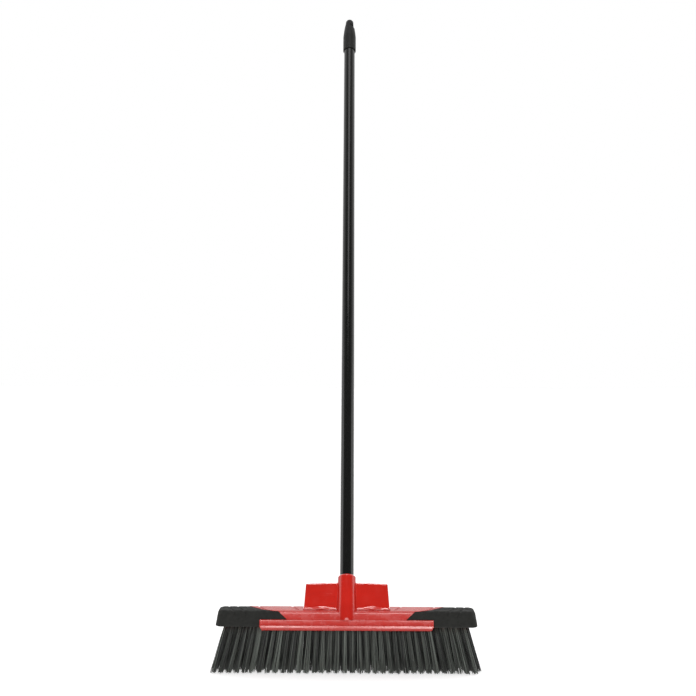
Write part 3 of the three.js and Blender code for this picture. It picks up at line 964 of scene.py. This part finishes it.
def make_thread_tip():
    """Plug, shoulder and a right-hand thread that runs out at both ends."""
    shoulder_top = -TUBE_IN_SOCKET - GAP
    shoulder_low = shoulder_top - SHOULDER
    end = -mouth_depth - THREAD_LENGTH
    plug = TUBE_DIAMETER / 2 - TUBE_WALL - GAP
    core = THREAD_DIAMETER / 2 - THREAD_HEIGHT
    segments = 72
    rings = []

    def ring(z, radii):
        rings.append([
            (radii[i] * math.cos(2 * math.pi * i / segments),
             radii[i] * math.sin(2 * math.pi * i / segments), z)
            for i in range(segments)
        ])

    ring(end, [core - 2 * THREAD_HEIGHT] * segments)
    for k in range(int((shoulder_low - end) / THREAD_STEP)):
        z = end + k * THREAD_STEP
        base = core - max(0, THREAD_HEIGHT - (z - end))
        fade = min(1, max(0, (z - end - 1) / 3)) * min(1, max(0, (shoulder_low - z - 1) / 2))
        radii = []
        for i in range(segments):
            offset = (z - THREAD_PITCH * i / segments) % THREAD_PITCH
            flank = abs(offset - THREAD_PITCH / 2)
            height = min(1, max(0, (THREAD_FOOT - flank) / THREAD_FLANK))
            radii.append(base + fade * THREAD_HEIGHT * height)
        ring(z, radii)
    full, edge = TUBE_DIAMETER / 2, SHOULDER_EDGE
    for radius, z in (
        (core, shoulder_low), (full - edge, shoulder_low), (full, shoulder_low + edge),
        (full, shoulder_top - edge), (full - edge, shoulder_top), (plug, shoulder_top),
        (plug, shoulder_top + PLUG_LENGTH - THREAD_HEIGHT),
        (plug - THREAD_HEIGHT, shoulder_top + PLUG_LENGTH),
    ):
        ring(z, [radius] * segments)
    tip = add_object("screw_tip", *loft(rings), handle_frame)
    shade(tip, 40)
    return tip


def make_cap():
    bore = TUBE_IN_CAP + GAP
    tip_centre = CAP_LENGTH - CAP_TIP_RADIUS
    taper = []
    for k in range(1, 15):
        t = k / 15
        shrink = t ** (math.log(CAP_CROWN) / math.log(0.5))
        taper.append((
            cap_radius - (cap_radius - CAP_TIP_RADIUS) * shrink,
            CAP_SKIRT + (tip_centre - CAP_SKIRT) * t,
        ))
    dome = [(CAP_TIP_RADIUS * math.cos(a), tip_centre + CAP_TIP_RADIUS * math.sin(a))
            for a in (math.radians(d) for d in range(0, 91, 9))]
    outline = [(0, 0), (cap_radius - CAP_EDGE[0], 0), (cap_radius, CAP_EDGE[1]),
               (cap_radius, CAP_SKIRT), *taper, *dome]
    place = handle_frame @ Matrix.Translation((0, 0, cap_start))
    body = turned("cap", outline, 72, place)
    eye = (place @ Matrix.Translation((0, 0, CAP_LENGTH - EYE_FROM_TIP))
           @ Matrix.Rotation(-EYE_TURN, 4, "Z") @ Matrix.Rotation(math.pi / 2, 4, "Y"))
    carve(body, "DIFFERENCE", rod("eye", EYE_RADIUS, -cap_radius, cap_radius, eye, 48))
    turns = [math.radians(d) for d in range(-90, 91, 6)]
    for side in (1, -1):
        away = side * (EYE_WEB / 2 + SCOOP_RADIUS)
        ball = [(SCOOP_RADIUS * math.cos(a), away + SCOOP_RADIUS * math.sin(a)) for a in turns]
        carve(body, "DIFFERENCE", turned("scoop", ball, 64, eye))
    cap = fuse("hanging_cap", [body], CAP_VOXEL, 4)
    hollow = turned("hollow", [
        (0, -1), (mouth_radius + CAP_MOUTH_FLARE, -1), (mouth_radius + CAP_MOUTH_FLARE, 0.6),
        (mouth_radius, CAP_MOUTH_DEPTH), (mouth_radius, bore), (0, bore),
    ], 96, place)
    carve(cap, "DIFFERENCE", hollow)
    shade(cap, 50)
    return cap


# ---------------------------------------------------------------- bristles


def make_tuft_column(name, column, draw):
    """Every filament of one column of tufts: set in its hole, splayed and slightly bent."""
    root_z = block_low + HOLE_DEPTH - 1
    turn = 2 * math.pi * np.arange(FILAMENT_SIDES) / FILAMENT_SIDES
    golden = math.pi * (3 - math.sqrt(5))
    points, faces, tones = [], [], []
    for row in range(TUFT_ROWS):
        at = tuft_axis(column, row)
        root = np.array(at(root_z))
        tip = np.array(at(0))
        outer = row in (0, TUFT_ROWS - 1)
        # painted shade: on top of its random tone, a bunch in an outer row is lighter and one in an
        # inner row darker, standing in for the shade between the rows
        bunch_tone_and_shade = draw.normal(0, TUFT_TONE_SPREAD) + (PAINTED_ROW_SHADE if outer else -PAINTED_ROW_SHADE)
        lean = draw.normal(0, LEAN_SPREAD, 2)
        order = np.arange(FILAMENTS) + 0.5
        disc = np.sqrt(order / FILAMENTS)
        swirl = golden * order + draw.uniform(0, 2 * math.pi)
        unit = np.stack([disc * np.cos(swirl), disc * np.sin(swirl)], axis=1)
        for k in range(FILAMENTS):
            start = root + unit[k] * (TUFT_RADIUS - FILAMENT_RADIUS)
            end = tip + (unit[k] * np.array(SPLAY) + lean + draw.normal(0, SPLAY_SPREAD))
            bend = draw.normal(0, BEND_SPREAD, 2)
            short = draw.random() >= FULL_SHARE
            trim = draw.uniform(*LONG_TRIM) if short else max(0.0, draw.exponential(TRIM_MEAN))
            radius = FILAMENT_RADIUS * draw.uniform(*RADIUS_SPREAD)
            base = len(points)
            for level in FILAMENT_LEVELS:
                z = trim + (root_z - trim) * level
                along = 1 - level
                centre = start + (end - start) * along + bend * (4 * along * (1 - along)) * 0.5
                for a in turn:
                    points.append((
                        centre[0] + radius * math.cos(a),
                        centre[1] + radius * math.sin(a),
                        z,
                    ))
            n = FILAMENT_SIDES
            for level in range(len(FILAMENT_LEVELS) - 1):
                a, b = base + level * n, base + (level + 1) * n
                for i in range(n):
                    j = (i + 1) % n
                    faces.append((a + i, b + i, b + j, a + j))
            foot = base + (len(FILAMENT_LEVELS) - 1) * n
            faces.append(tuple(range(base, base + n)))
            faces.append(tuple(reversed(range(foot, foot + n))))
            # each filament's tone carries the painted row shade of its bunch
            tone = FILAMENT_TONE + bunch_tone_and_shade + draw.normal(0, FILAMENT_TONE_SPREAD)
            tones += [float(np.clip(tone, 0, 1)) ** TONE_POWER] * (n * len(FILAMENT_LEVELS))
    mesh = bpy.data.meshes.new(name)
    mesh.from_pydata((np.array(points) * MM).tolist(), [], faces)
    mesh.attributes.new("tone", "FLOAT", "POINT").data.foreach_set("value", tones)
    mesh.polygons.foreach_set("use_smooth", [len(face) == 4 for face in faces])
    obj = bpy.data.objects.new(name, mesh)
    bpy.context.scene.collection.objects.link(obj)
    return obj


# ---------------------------------------------------------------- assembly


def place(obj, body, node, slot, material):
    """obj takes the place of a CAD node on that body."""
    obj.data.materials.clear()
    obj.data.materials.append(material)
    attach(obj, body)
    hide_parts(node)


def build():
    block_red = red_plastic(
        "red_block", (0.39, 0.019, 0.014), (0.36, 0.017, 0.012), roughness=0.25, grain=0.004)
    socket_red = red_plastic(
        "red_bracket", (0.46, 0.014, 0.008), (0.41, 0.012, 0.007), roughness=0.13, grain=0.003)
    tip_black = black_plastic(
        "tip_plastic", (0.009, 0.009, 0.009), (0.014, 0.014, 0.014), roughness=0.4, grain=0.02)
    cap_black = black_plastic(
        "cap_plastic", (0.005, 0.005, 0.0046), (0.0075, 0.0075, 0.0068), roughness=0.55, grain=0.03)
    rubber = bumper_rubber()
    block, bracket = make_block(), make_bracket()
    place(block, "head", "block", "red_block", block_red)
    place(make_bumper("bumper_left_rubber", -1), "head", "bumper_left", "bumper_rubber", rubber)
    place(make_bumper("bumper_right_rubber", 1), "head", "bumper_right", "bumper_rubber", rubber)
    place(bracket, "head", "handle_bracket", "red_bracket", socket_red)
    make_accents(block, bracket)

    place(make_tube(), "handle", "handle_tube", "tube_coat", tube_coat())
    place(make_thread_tip(), "screw", "thread_tip", "tip_plastic", tip_black)
    place(make_cap(), "handle", "hang_cap", "cap_plastic", cap_black)

    bristle = bristle_plastic()
    draw = np.random.default_rng(BRISTLE_SEED)
    for column in range(TUFT_COLUMNS):
        label = f"{column + 1:02d}"
        tufts = make_tuft_column(f"bristles_{label}", column, draw)
        place(tufts, "head", f"tuft_column_{label}", "bristle", bristle)


make_studio()
build()
